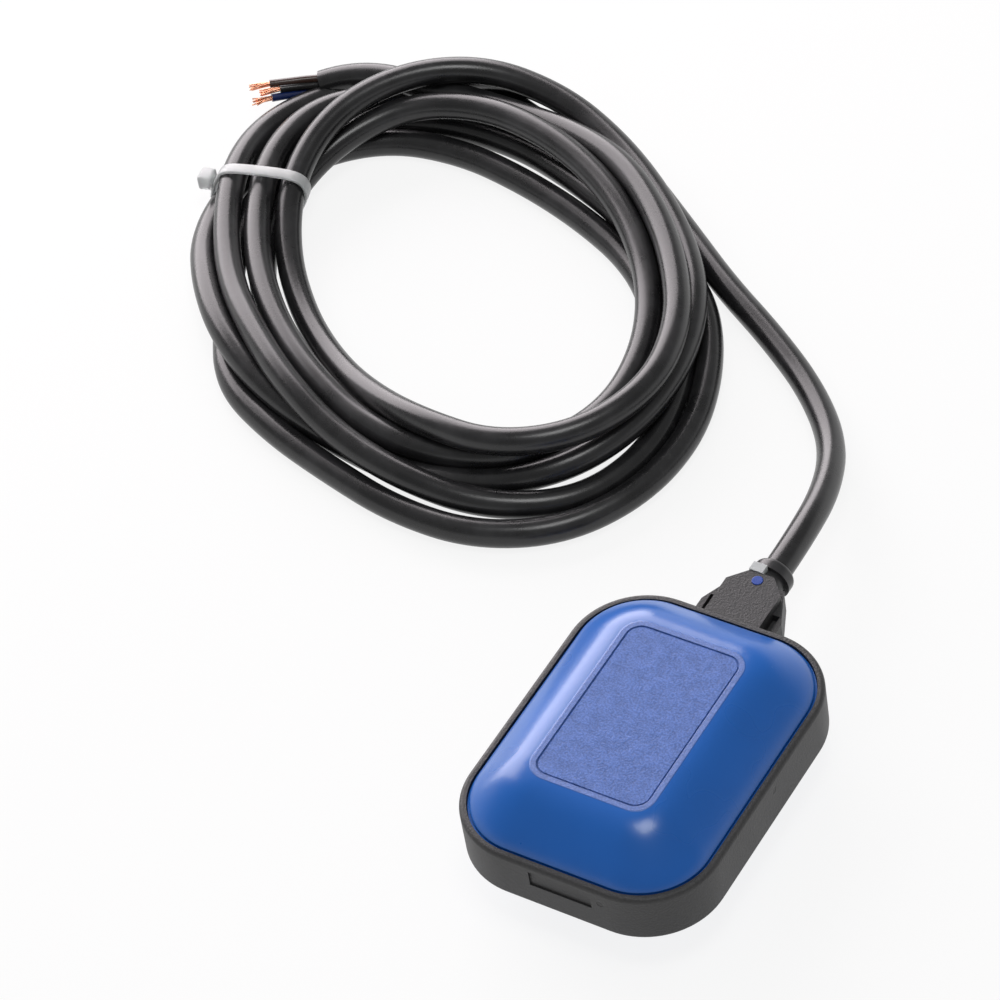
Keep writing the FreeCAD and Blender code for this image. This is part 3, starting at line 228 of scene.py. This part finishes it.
class Recipe:
    """The nodes of one material, or of the world, from the coordinates to the output."""

    def __init__(self, name, world=False):
        self.owner = (bpy.data.worlds if world else bpy.data.materials).new(name)
        self.owner.use_nodes = True
        self.tree = self.owner.node_tree
        self.tree.nodes.clear()
        self.place = self.node("ShaderNodeTexCoord", out="Generated" if world else "Object")

    def node(self, kind, settings=None, values=None, out=0):
        made = self.tree.nodes.new(kind)
        for key, value in (settings or {}).items():
            setattr(made, key, value)
        for key, value in (values or {}).items():
            socket = made.inputs[key]
            if isinstance(value, Wire):
                self.tree.links.new(value.socket, socket)
            elif socket.type == "RGBA":
                socket.default_value = (*value[:3], 1.0)
            else:
                socket.default_value = value
        return Wire(self, made.outputs[out])

    def noise(self, scale, detail=2.0, rough=0.5, place=None):
        return self.node("ShaderNodeTexNoise", None, {"Vector": place or self.place, "Scale": scale,
                                                      "Detail": detail, "Roughness": rough})

    def cells(self, scale):
        return self.node("ShaderNodeTexVoronoi", {"feature": "F1"}, {"Vector": self.place, "Scale": scale})

    def stretched(self, scales):
        """The coordinates scaled per axis."""
        return self.node("ShaderNodeMapping", None, {"Vector": self.place, "Scale": scales})

    def axes(self):
        """The coordinates' three numbers, a wire each."""
        parts = self.node("ShaderNodeSeparateXYZ", None, {0: self.place}).socket.node.outputs
        return [Wire(self, part) for part in parts]

    def mix(self, one, two, share):
        return self.node("ShaderNodeMix", {"data_type": "RGBA"}, {0: share, 6: one, 7: two}, out=2)

    def bump(self, height, strength, distance, normal=None):
        values = {"Height": height, "Strength": strength, "Distance": distance}
        if normal:
            values["Normal"] = normal
        return self.node("ShaderNodeBump", None, values)

    def finish(self, **values):
        """Ends the material in a Principled shader. Words in the names of sockets are joined by _."""
        shader = self.node("ShaderNodeBsdfPrincipled", None,
                           {key.replace("_", " "): value for key, value in values.items()})
        self.node_out(shader)
        return self.owner

    def node_out(self, shader, kind="ShaderNodeOutputMaterial"):
        """Joins the last shader to the output."""
        end = self.tree.nodes.new(kind)
        self.tree.links.new(shader.socket, end.inputs["Surface"])


def gloss_blue(name, sizes):
    """Glossy moulded cover: a grained flat panel with a fine line inside its edge."""
    r = Recipe(name)
    x, y, _ = r.axes()
    round_off = sizes.panel_radius
    # edge is the distance from the panel's rounded edge, below 0 inside the panel
    across = x.size() - (sizes.panel_width / 2 - round_off)
    along = y.size() - (sizes.panel_length / 2 - round_off)
    a, b = across.most(0.0), along.most(0.0)
    edge = (a * a + b * b).root() + across.most(along).least(0.0) - round_off
    panel = edge.ramp(0.0003, -0.0003)
    line = (edge + sizes.border).size().ramp(0.00032, 0.0001)
    grain = r.noise(1500.0, 3.0, 0.6)
    mottle = r.noise(260.0, 3.0, 0.6)
    flow = r.noise(34.0, 2.0, 0.5)
    speck = r.cells(120.0).ramp(0.05, 0.02) * r.noise(40.0, 0.0).ramp(0.56, 0.64)
    body = r.mix(sizes.blue, [c * 1.25 + 0.002 for c in sizes.blue], flow)
    flat = r.mix([c * 0.72 for c in sizes.panel_blue], [c * 1.35 + 0.050 for c in sizes.panel_blue],
                 grain.ramp(0.36, 0.66) * 0.65 + mottle.ramp(0.3, 0.7) * 0.35)
    edging = (edge + sizes.border).ramp(0.0, 0.0004) * panel
    flat = r.mix(flat, (0.22, 0.30, 0.62), edging * 0.28)
    colour = r.mix(body, flat, panel)
    # painted shade: the fine line is a groove, and its colour is darkened here for the shade inside it
    colour = r.mix(colour, [c * 0.55 for c in sizes.blue], line * panel * 0.25)
    colour = r.mix(colour, (0.35, 0.45, 0.62), speck * 0.5)
    height = grain * panel * 0.5 + mottle * panel * 0.5 - line * panel * 1.2
    skin = r.bump(r.noise(420.0, 1.0), 0.05, 0.0002)
    normal = r.bump(height, 0.8, 0.0004, skin)
    return r.finish(Base_Color=colour, Roughness=panel * 0.22 + 0.25 + flow * 0.06,
                    Normal=normal, IOR=1.5, Coat_Weight=0.15, Coat_Roughness=0.14)


def grained(name, colour, scale=1300.0, rough=0.52, depth=0.7, fleck=0.9, marks=()):
    """Spark-eroded dark plastic: an even fine grain with a little shine on its tips."""
    r = Recipe(name)
    grain = r.noise(scale, 3.0, 0.65)
    pits = r.cells(scale * 0.9)
    cloud = r.noise(45.0, 3.0, 0.6)
    lift = (grain - 0.5) * fleck + (cloud - 0.5) * 0.5
    shade = r.mix([c * 0.72 for c in colour], [c * 1.45 + 0.004 for c in colour],
                  (lift + 0.45).most(0.0).least(1.0))
    height = grain * 0.6 + pits * 0.4
    for mark in marks:   # the round marks that ejector pins leave
        away = r.node("ShaderNodeVectorMath", {"operation": "DISTANCE"}, {0: r.place, 1: mark}, out=1)
        spot = away.ramp(0.0013, 0.0009)
        # painted shade: each mark's shallow pit is darkened in colour as well as sunk by the bump
        shade = r.mix(shade, [c * 0.45 for c in colour], spot * 0.8)
        height = height - spot * 1.5
    normal = r.bump(height, depth, 0.00026)
    return r.finish(Base_Color=shade, Roughness=cloud * 0.14 + grain * 0.1 + (rough - 0.12),
                    Normal=normal, IOR=1.48)


def sheath_rubber(name, colour):
    """Satin black sheath with faint scuffs and the dull film that handling leaves."""
    r = Recipe(name)
    film = r.noise(55.0, 4.0, 0.62)
    fine = r.noise(900.0, 2.0, 0.6)
    scuff = r.noise(240.0, 5.0, 0.7).ramp(0.60, 0.74) * r.noise(26.0, 1.0).ramp(0.45, 0.62)
    shade = r.mix(colour, [c * 2.1 + 0.006 for c in colour], film.ramp(0.35, 0.75))
    shade = r.mix(shade, (0.075, 0.074, 0.072), scuff * 0.35)
    normal = r.bump(fine * 0.5 + film * 0.5, 0.16, 0.0002)
    return r.finish(Base_Color=shade, Roughness=film * 0.16 + scuff * 0.15 + 0.20,
                    Normal=normal, IOR=1.5, Specular_IOR_Level=0.5)


def smooth_plastic(name, colour, rough=0.3, variation=0.12, grain=700.0, depth=0.12):
    """Moulded or extruded plastic with a faint unevenness of tone, gloss and skin."""
    r = Recipe(name)
    cloud = r.noise(90.0, 3.0, 0.6)
    fine = r.noise(grain, 2.0, 0.5)
    shade = r.mix([c * (1 - variation) for c in colour], [min(c * (1 + variation), 1.0) for c in colour],
                  cloud)
    return r.finish(Base_Color=shade, Roughness=cloud * 0.12 + fine * 0.06 + (rough - 0.09),
                    Normal=r.bump(fine, depth, 0.00015), IOR=1.5)


def milky_nylon(name, colour, clear=0.5):
    """Natural nylon: light goes some way in, and the surface has slight flow lines."""
    r = Recipe(name)
    cloud = r.noise(180.0, 3.0, 0.6)
    fine = r.noise(1100.0, 2.0, 0.5)
    shade = r.mix([c * 0.94 for c in colour], [min(c * 1.05, 1.0) for c in colour], cloud)
    return r.finish(Base_Color=shade, Roughness=cloud * 0.15 + 0.28, Normal=r.bump(fine, 0.12, 0.00015),
                    IOR=1.53, Transmission_Weight=clear, Subsurface_Weight=0.25,
                    Subsurface_Radius=(0.004, 0.004, 0.004), Subsurface_Scale=0.5)


def drawn_metal(name, colour, rough=0.28, lines=(900.0, 60.0, 900.0), depth=0.15):
    """Metal with drawing or rolling lines and a slightly uneven tarnish."""
    r = Recipe(name)
    strokes = r.noise(1.0, 3.0, 0.6, r.stretched(lines))
    tarnish = r.noise(220.0, 3.0, 0.6)
    shade = r.mix([c * 0.78 for c in colour], [min(c * 1.08, 1.0) for c in colour], tarnish)
    return r.finish(Base_Color=shade, Metallic=1.0, Roughness=strokes * 0.16 + tarnish * 0.1 + (rough - 0.13),
                    Normal=r.bump(strokes, depth, 0.0001))


def piece_from(name, data, material):
    """A finished mesh or curve as an object that rides with the float, in the row frame."""
    data.materials.append(material)
    shape = bpy.data.objects.new(name, data)
    bpy.context.scene.collection.objects.link(shape)
    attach(shape, ROOT)
    return shape


def mesh_of(name, bm, smooth=True):
    mesh = bpy.data.meshes.new(name)
    bmesh.ops.recalc_face_normals(bm, faces=bm.faces)
    for face in bm.faces:
        face.smooth = smooth
    bm.to_mesh(mesh)
    bm.free()
    return mesh


def round_curve(name, along, around):
    """An empty curve for round lines, with the fineness along a line and around it."""
    data = bpy.data.curves.new(name, "CURVE")
    data.dimensions = "3D"
    data.resolution_u = along
    data.bevel_depth = 1.0   # the points carry the radius, so that the object's box is the true one
    data.bevel_resolution = around
    data.use_fill_caps = True
    return data


def add_line(data, points, radius):
    """A smooth NURBS line with these control points and this radius."""
    line = data.splines.new("NURBS")
    line.points.add(len(points) - 1)
    for point, place in zip(line.points, points):
        point.co = (*place, 1.0)
        point.radius = radius
    line.order_u = 3
    line.use_endpoint_u = True


def line_curve(name, points, radius, material):
    """A round rod or cable along one smooth line."""
    data = round_curve(name, along=8, around=6)
    add_line(data, points, radius)
    return piece_from(name, data, material)


def paint(node, material):
    """Gives a CAD node its finish."""
    shape = frame["nodes"][node]
    if not shape.material_slots:
        shape.data.materials.append(material)
    for place in shape.material_slots:
        place.material = material


class FLOATSWITCH_OT_cable(bpy.types.Operator):
    """Lay the cable: one smooth line from the bush into six and a bit turns of coil"""
    bl_idname = "floatswitch.cable"
    bl_label = "Cable"

    def execute(self, context):
        sizes = context.scene.float_cable
        rubber = sheath_rubber("cable rubber", sizes.colour)
        cable = line_curve("cable_sheath", CABLE_ROUTE, sizes.diameter / 2, rubber)
        cable.data.resolution_u = 10
        cable.data.bevel_resolution = 8
        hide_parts("cable_lead", "cable_coil", "cable_tail")
        ends = [bpy.data.objects[n] for n in ("tie_strap", "tie_head") if n in bpy.data.objects]
        ends += [o for o in bpy.data.objects if o.name.startswith(("insulation_", "copper_"))]
        paint("cable_held", sheath_rubber("held cable rubber", sizes.colour))
        return {"FINISHED"}


CORE_ENDS = {  # control points of each core, from inside the sheath to its bare copper, in metres
    "brown": [(-0.2505, 0.2279, 0.0104), (-0.2560, 0.2236, 0.0116),
              (-0.2615, 0.2190, 0.0123), (-0.2669, 0.2153, 0.0125)],
    "black": [(-0.2505, 0.2270, 0.0086), (-0.2550, 0.2226, 0.0098),
              (-0.2590, 0.2188, 0.0109), (-0.2630, 0.2153, 0.0115)],
    "blue": [(-0.2515, 0.2256, 0.0072), (-0.2560, 0.2209, 0.0076),
             (-0.2603, 0.2162, 0.0090), (-0.2643, 0.2117, 0.0100)],
}
WIRE_RADIUS = 0.00026                        # one fine copper wire, in metres
OUTER_RING, INNER_RING = 0.00062, 0.00020    # how far the wires lie from the core's axis, in metres
OUTER_SHARE = 0.65                           # share of the wires in the outer ring
WIRE_TUCK, WIRE_SAG = 0.001, 0.0006          # start inside the insulation, drop of the ends, in metres
WIRE_STEP, WIRE_TWIST = 2.4, 1.1             # turn to the next wire and along one wire, in radians
WIRE_POINTS = 6


class FLOATSWITCH_OT_cores(bpy.types.Operator):
    """Make the three stripped cores at the cable's end, with their fine copper wires"""
    bl_idname = "floatswitch.cores"
    bl_label = "Cores"

    def execute(self, context):
        sizes = context.scene.float_cable
        copper = drawn_metal("bare copper", sizes.copper, rough=0.26,
                             lines=(700.0, 700.0, 700.0), depth=0.1)
        for colour, points in CORE_ENDS.items():
            skin = smooth_plastic(colour + " insulation", getattr(sizes, colour),
                                  rough=0.26, variation=0.2)
            core = line_curve("insulation_" + colour, points, sizes.core_diameter / 2, skin)
            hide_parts("core_" + colour)
            wires = self.wires(colour, Vector(points[-2]), Vector(points[-1]), sizes, copper)
            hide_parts("strands_" + colour)
        return {"FINISHED"}

    def wires(self, colour, before, end, sizes, copper):
        """Twisted fine wires that open a little towards their cut ends."""
        ahead = (end - before).normalized()
        side = ahead.cross(Vector((0, 0, 1))).normalized()
        up = side.cross(ahead)
        data = round_curve("copper_" + colour, along=6, around=3)
        for i in range(sizes.wires):
            ring = OUTER_RING if i < sizes.wires * OUTER_SHARE else INNER_RING
            start = WIRE_STEP * i + len(colour)
            reach = sizes.bare_length * (0.86 + 0.14 * math.sin(7.1 * i + len(colour)))
            spread = 0.7 + 0.5 * math.sin(3.3 * i)
            points = []
            for k in range(WIRE_POINTS):
                share = k / (WIRE_POINTS - 1)
                turn = start + share * WIRE_TWIST
                off = ring * (1 + share * share * spread)
                place = end - ahead * WIRE_TUCK + ahead * (reach + WIRE_TUCK) * share
                place += side * off * math.cos(turn) + up * off * math.sin(turn)
                place.z -= WIRE_SAG * share * share
                points.append(place)
            add_line(data, points, WIRE_RADIUS)
        return piece_from("copper_" + colour, data, copper)


TIE_CENTRE = Vector((-0.23985, 0.17071, 0.0))
TIE_ACROSS = Vector((0.97952, 0.20134, 0.0))   # level, square to the strands in the tie
TIE_ALONG = Vector((-TIE_ACROSS.y, TIE_ACROSS.x, 0.0))
TIE_LOOP = [  # the strap's line round the strands: across and height, in metres
    (-0.0201, 0.0050), (-0.0189, 0.0025), (-0.0158, 0.0012), (-0.0100, 0.0011), (-0.0047, 0.0011),
    (0.0005, 0.0012), (0.0059, 0.0015), (0.0086, 0.0022), (0.0102, 0.0040), (0.0120, 0.0080),
    (0.0139, 0.0120), (0.0145, 0.0143), (0.0139, 0.0170), (0.0120, 0.0187), (0.0095, 0.0194),
    (0.0030, 0.0197), (-0.0050, 0.0194), (-0.0119, 0.0188), (-0.0144, 0.0179), (-0.0161, 0.0160),
    (-0.0177, 0.0125), (-0.0194, 0.0085),
]
TIE_CUTS, TIE_ROUNDS = 3, 5                # new points in each span of the loop, rounds of smoothing
STRAP_EDGE, HEAD_EDGE = 0.00025, 0.0009    # bevels of the strap and the head, in metres
HEAD_SHAPE = (0.82, 1.0, 0.86)             # the head's sides across, along and up, in parts of its size
HEAD_ACROSS, HEAD_HEIGHT = -0.0214, 0.0129  # the head's centre, as in the loop
SLOT_RIM, SLOT_DEPTH = 0.0007, 0.0012      # the opening in the head's end, in metres


class FLOATSWITCH_OT_tie(bpy.types.Operator):
    """Strap the turns together with a nylon tie"""
    bl_idname = "floatswitch.tie"
    bl_label = "Tie"

    def execute(self, context):
        sizes = context.scene.float_tie
        nylon = milky_nylon("milky nylon", sizes.colour)
        bm = bmesh.new()
        ring = [bm.verts.new(TIE_CENTRE + TIE_ACROSS * a + Vector((0, 0, z)) - TIE_ALONG * sizes.width / 2)
                for a, z in TIE_LOOP]
        rim = [bm.edges.new((ring[i - 1], ring[i])) for i in range(len(ring))]
        bmesh.ops.subdivide_edges(bm, edges=rim, cuts=TIE_CUTS)
        for _ in range(TIE_ROUNDS):
            bmesh.ops.smooth_vert(bm, verts=bm.verts, factor=0.5, use_axis_x=True, use_axis_y=True,
                                  use_axis_z=True)
        rim = bm.edges[:]
        for _ in range(2):
            made = bmesh.ops.extrude_edge_only(bm, edges=rim)["geom"]
            moved = [v for v in made if isinstance(v, bmesh.types.BMVert)]
            rim = [e for e in made if isinstance(e, bmesh.types.BMEdge) and set(e.verts) <= set(moved)]
            bmesh.ops.translate(bm, verts=moved, vec=TIE_ALONG * sizes.width / 2)
        bmesh.ops.recalc_face_normals(bm, faces=bm.faces)
        bmesh.ops.solidify(bm, geom=bm.faces[:], thickness=-sizes.thickness)
        strap = piece_from("tie_strap", mesh_of("tie_strap", bm), nylon)
        edge = strap.modifiers.new("edge", "BEVEL")
        edge.width, edge.segments, edge.angle_limit = STRAP_EDGE, 2, math.radians(50)
        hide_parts("cable_tie")
        self.head(sizes, nylon)
        return {"FINISHED"}

    def head(self, sizes, nylon):
        """The head's block, with the opening of the strap's slot sunk in its outer end."""
        bm = bmesh.new()
        bmesh.ops.create_cube(bm, size=1.0)
        bmesh.ops.scale(bm, verts=bm.verts, vec=tuple(sizes.head * share for share in HEAD_SHAPE))
        bmesh.ops.bevel(bm, geom=bm.edges[:] + bm.verts[:], offset=HEAD_EDGE, segments=3, profile=0.5,
                        affect="EDGES", material=-1)
        lid = max(bm.faces, key=lambda f: f.calc_center_median().x)
        bmesh.ops.inset_individual(bm, faces=[lid], thickness=SLOT_RIM)
        bmesh.ops.translate(bm, verts=lid.verts[:], vec=(-SLOT_DEPTH, 0, 0))
        axes = Matrix((TIE_ACROSS, TIE_ALONG, Vector((0, 0, 1)))).transposed().to_4x4()
        place = Matrix.Translation(TIE_CENTRE + TIE_ACROSS * HEAD_ACROSS + Vector((0, 0, HEAD_HEIGHT)))
        bmesh.ops.transform(bm, matrix=place @ axes @ Matrix.Rotation(math.pi, 4, "Z"), verts=bm.verts)
        piece_from("tie_head", mesh_of("tie_head", bm), nylon)


PIN_MARKS = [(0.0152, -0.0530, 0.0247), (0.0405, 0.0030, 0.0252)]   # places on the band, in metres
PEG_BLUE = (0.010, 0.055, 0.330)
BUSH_BLACK = (0.014, 0.014, 0.015)
KEY_WHITE = (0.66, 0.69, 0.69)


class FLOATSWITCH_OT_housing(bpy.types.Operator):
    """Finish the two covers, the band with its neck, the bush, the key and the peg"""
    bl_idname = "floatswitch.housing"
    bl_label = "Housing"

    def execute(self, context):
        sizes = context.scene.float_housing
        paint("upper_cover", gloss_blue("upper cover blue", sizes))
        paint("lower_cover", gloss_blue("lower cover blue", sizes))
        paint("band", grained("band grain", sizes.band, scale=1700.0, rough=0.5, depth=0.7, fleck=1.3,
                              marks=PIN_MARKS))
        paint("neck_peg", smooth_plastic("peg blue", PEG_BLUE, rough=0.3))
        paint("gland_bush", sheath_rubber("bush rubber", BUSH_BLACK))
        paint("gland_key", milky_nylon("key nylon", KEY_WHITE, clear=0.35))
        return {"FINISHED"}


WORKS = {  # finish of each inner node: maker, colour, and roughness or, for grained, the grain's scale
    "capsule_base": (smooth_plastic, (0.55, 0.56, 0.55), 0.38),
    "capsule_lid": (smooth_plastic, (0.60, 0.61, 0.60), 0.34),
    "capsule_gasket": (grained, (0.020, 0.020, 0.022), 900.0),
    "capsule_screws": (drawn_metal, (0.62, 0.63, 0.64), 0.24),
    "switch_case": (grained, (0.016, 0.016, 0.018), 1100.0),
    "switch_cover": (grained, (0.120, 0.016, 0.012), 1000.0),
    "switch_screws": (drawn_metal, (0.62, 0.60, 0.52), 0.26),
    "plunger": (smooth_plastic, (0.45, 0.06, 0.04), 0.30),
    "contact_blade": (drawn_metal, (0.80, 0.55, 0.26), 0.25),
    "terminal_common": (drawn_metal, (0.78, 0.66, 0.36), 0.28),
    "terminal_open": (drawn_metal, (0.80, 0.67, 0.37), 0.30),
    "terminal_closed": (drawn_metal, (0.76, 0.64, 0.35), 0.26),
    "lever": (drawn_metal, (0.60, 0.61, 0.62), 0.27),
    "lever_pin": (drawn_metal, (0.55, 0.56, 0.57), 0.20),
    "steel_ball": (drawn_metal, (0.68, 0.69, 0.70), 0.16),
}


class FLOATSWITCH_OT_works(bpy.types.Operator):
    """Finish the capsule, the ball, the lever and the microswitch inside the float"""
    bl_idname = "floatswitch.works"
    bl_label = "Works"

    def execute(self, context):
        sizes = context.scene.float_cable
        for node, (maker, colour, value) in WORKS.items():
            paint(node, maker(node.replace("_", " "), colour, value))
        for colour in ("brown", "black", "blue"):
            paint("wire_" + colour, smooth_plastic(colour + " wire", getattr(sizes, colour), 0.27))
        return {"FINISHED"}


CAMERA_PLACE = (0.493937, -0.681799, 1.012919)
CAMERA_RIGHT = Vector((0.856897, 0.500060, -0.125172))
CAMERA_UP = Vector((-0.291737, 0.670635, 0.682010))
CAMERA_BACK = Vector((0.424991, -0.547895, 0.720551))
SENSOR_WIDTH = 36.0                   # in millimetres, like the lens
CLIP_START, CLIP_END = 0.05, 50.0
KEY_LAMP = {"place": (-1.15, 0.85, 0.62), "aim": (-0.05, 0.08, 0.02), "size": (1.6, 1.1),
            "colour": (1.0, 0.93, 0.96)}
TOP_LAMP = {"place": (0.16, -0.06, 1.44), "aim": (-0.02, 0.02, 0.0), "size": (0.50, 0.50),
            "colour": (1.0, 1.0, 1.0)}
FLOOR_REACH, FLOOR_GAP = 6.0, 0.0002  # to each side, and below the object, in metres
FLOOR_GLOW = 0.86                     # share of plain white where the floor is seen


class FLOATSWITCH_OT_stage(bpy.types.Operator):
    """Set the camera at the picture's angle, the pale floor and the soft lights"""
    bl_idname = "floatswitch.stage"
    bl_label = "Camera, floor and lights"

    def execute(self, context):
        scene, sizes = context.scene, context.scene.float_stage
        scene.view_settings.view_transform = "Standard"
        eye = bpy.data.objects.new("camera", bpy.data.cameras.new("camera"))
        scene.collection.objects.link(eye)
        eye.data.lens, eye.data.sensor_width = sizes.lens, SENSOR_WIDTH
        eye.data.clip_start, eye.data.clip_end = CLIP_START, CLIP_END
        turn = Matrix((CAMERA_RIGHT, CAMERA_UP, CAMERA_BACK)).transposed().to_4x4()
        eye.matrix_world = Matrix.Translation(CAMERA_PLACE) @ turn
        scene.camera = eye
        self.floor()
        self.lamp("key", sizes.key, **KEY_LAMP)
        self.lamp("top", sizes.top, **TOP_LAMP)
        self.surround(scene, sizes.surround)
        return {"FINISHED"}

    def lamp(self, name, power, place, aim, size, colour):
        data = bpy.data.lights.new(name, "AREA")
        data.shape, data.energy, data.color = "RECTANGLE", power, colour
        data.size, data.size_y = size
        lamp = bpy.data.objects.new(name, data)
        bpy.context.scene.collection.objects.link(lamp)
        toward = Vector(aim) - Vector(place)
        lamp.matrix_world = Matrix.Translation(place) @ toward.to_track_quat("-Z", "Y").to_matrix().to_4x4()

    def seen(self, recipe):
        """1 where the camera, a reflection or clear material looks, else 0."""
        rays = [recipe.node("ShaderNodeLightPath", out=name)
                for name in ("Is Camera Ray", "Is Glossy Ray", "Is Transmission Ray")]
        return rays[0].most(rays[1]).most(rays[2])

    def floor(self):
        bm = bmesh.new()
        bmesh.ops.create_grid(bm, x_segments=1, y_segments=1, size=FLOOR_REACH)
        mesh = mesh_of("floor", bm, False)
        floor = bpy.data.objects.new("floor", mesh)
        bpy.context.scene.collection.objects.link(floor)
        floor.location.z = min(0.0, CAD_BOX[0][2]) - FLOOR_GAP
        r = Recipe("pale floor")
        paper = r.mix((0.86, 0.86, 0.86), (0.89, 0.89, 0.89), r.noise(3.0, 2.0))
        matt = r.node("ShaderNodeBsdfDiffuse", None, {"Color": paper})
        white = r.node("ShaderNodeEmission", None, {"Color": (1, 1, 1, 1), "Strength": 1.0})
        r.node_out(r.node("ShaderNodeMixShader", None, {0: self.seen(r) * FLOOR_GLOW, 1: matt, 2: white}))
        mesh.materials.append(r.owner)

    def surround(self, scene, strength):
        """An even light of this strength, but white where it is seen below a little over the horizon."""
        r = Recipe("surround", world=True)
        scene.world = r.owner
        _, _, height = r.axes()
        level = self.seen(r) * height.ramp(0.45, 0.10) * (1.0 - strength) + strength
        light = r.node("ShaderNodeBackground", None, {"Color": (1, 1, 1, 1), "Strength": level})
        r.node_out(light, "ShaderNodeOutputWorld")


class FLOATSWITCH_PT_panel(bpy.types.Panel):
    bl_label = "Float switch"
    bl_space_type = "VIEW_3D"
    bl_region_type = "UI"
    bl_category = "Float switch"

    def draw(self, context):
        for step in STEPS:
            self.layout.operator(step.bl_idname)
        for group, kind in SETTINGS.items():
            box = self.layout.box()
            for key in kind.__annotations__:
                box.prop(getattr(context.scene, group), key)


STEPS = (FLOATSWITCH_OT_cores, FLOATSWITCH_OT_tie, FLOATSWITCH_OT_cable, FLOATSWITCH_OT_housing,
         FLOATSWITCH_OT_works, FLOATSWITCH_OT_stage)
SETTINGS = {"float_cable": CableSettings, "float_tie": TieSettings, "float_housing": HousingSettings,
            "float_stage": StageSettings}


def register():
    for kind in (*SETTINGS.values(), *STEPS, FLOATSWITCH_PT_panel):
        bpy.utils.register_class(kind)
    for group, kind in SETTINGS.items():
        setattr(bpy.types.Scene, group, PointerProperty(type=kind))


def unregister():
    for group in SETTINGS:
        delattr(bpy.types.Scene, group)
    for kind in (FLOATSWITCH_PT_panel, *reversed(STEPS), *SETTINGS.values()):
        bpy.utils.unregister_class(kind)


def main():
    register()
    for step in STEPS:
        family, name = step.bl_idname.split(".")
        getattr(getattr(bpy.ops, family), name)()
    bpy.context.view_layer.update()


if __name__ == "__main__":
    main()
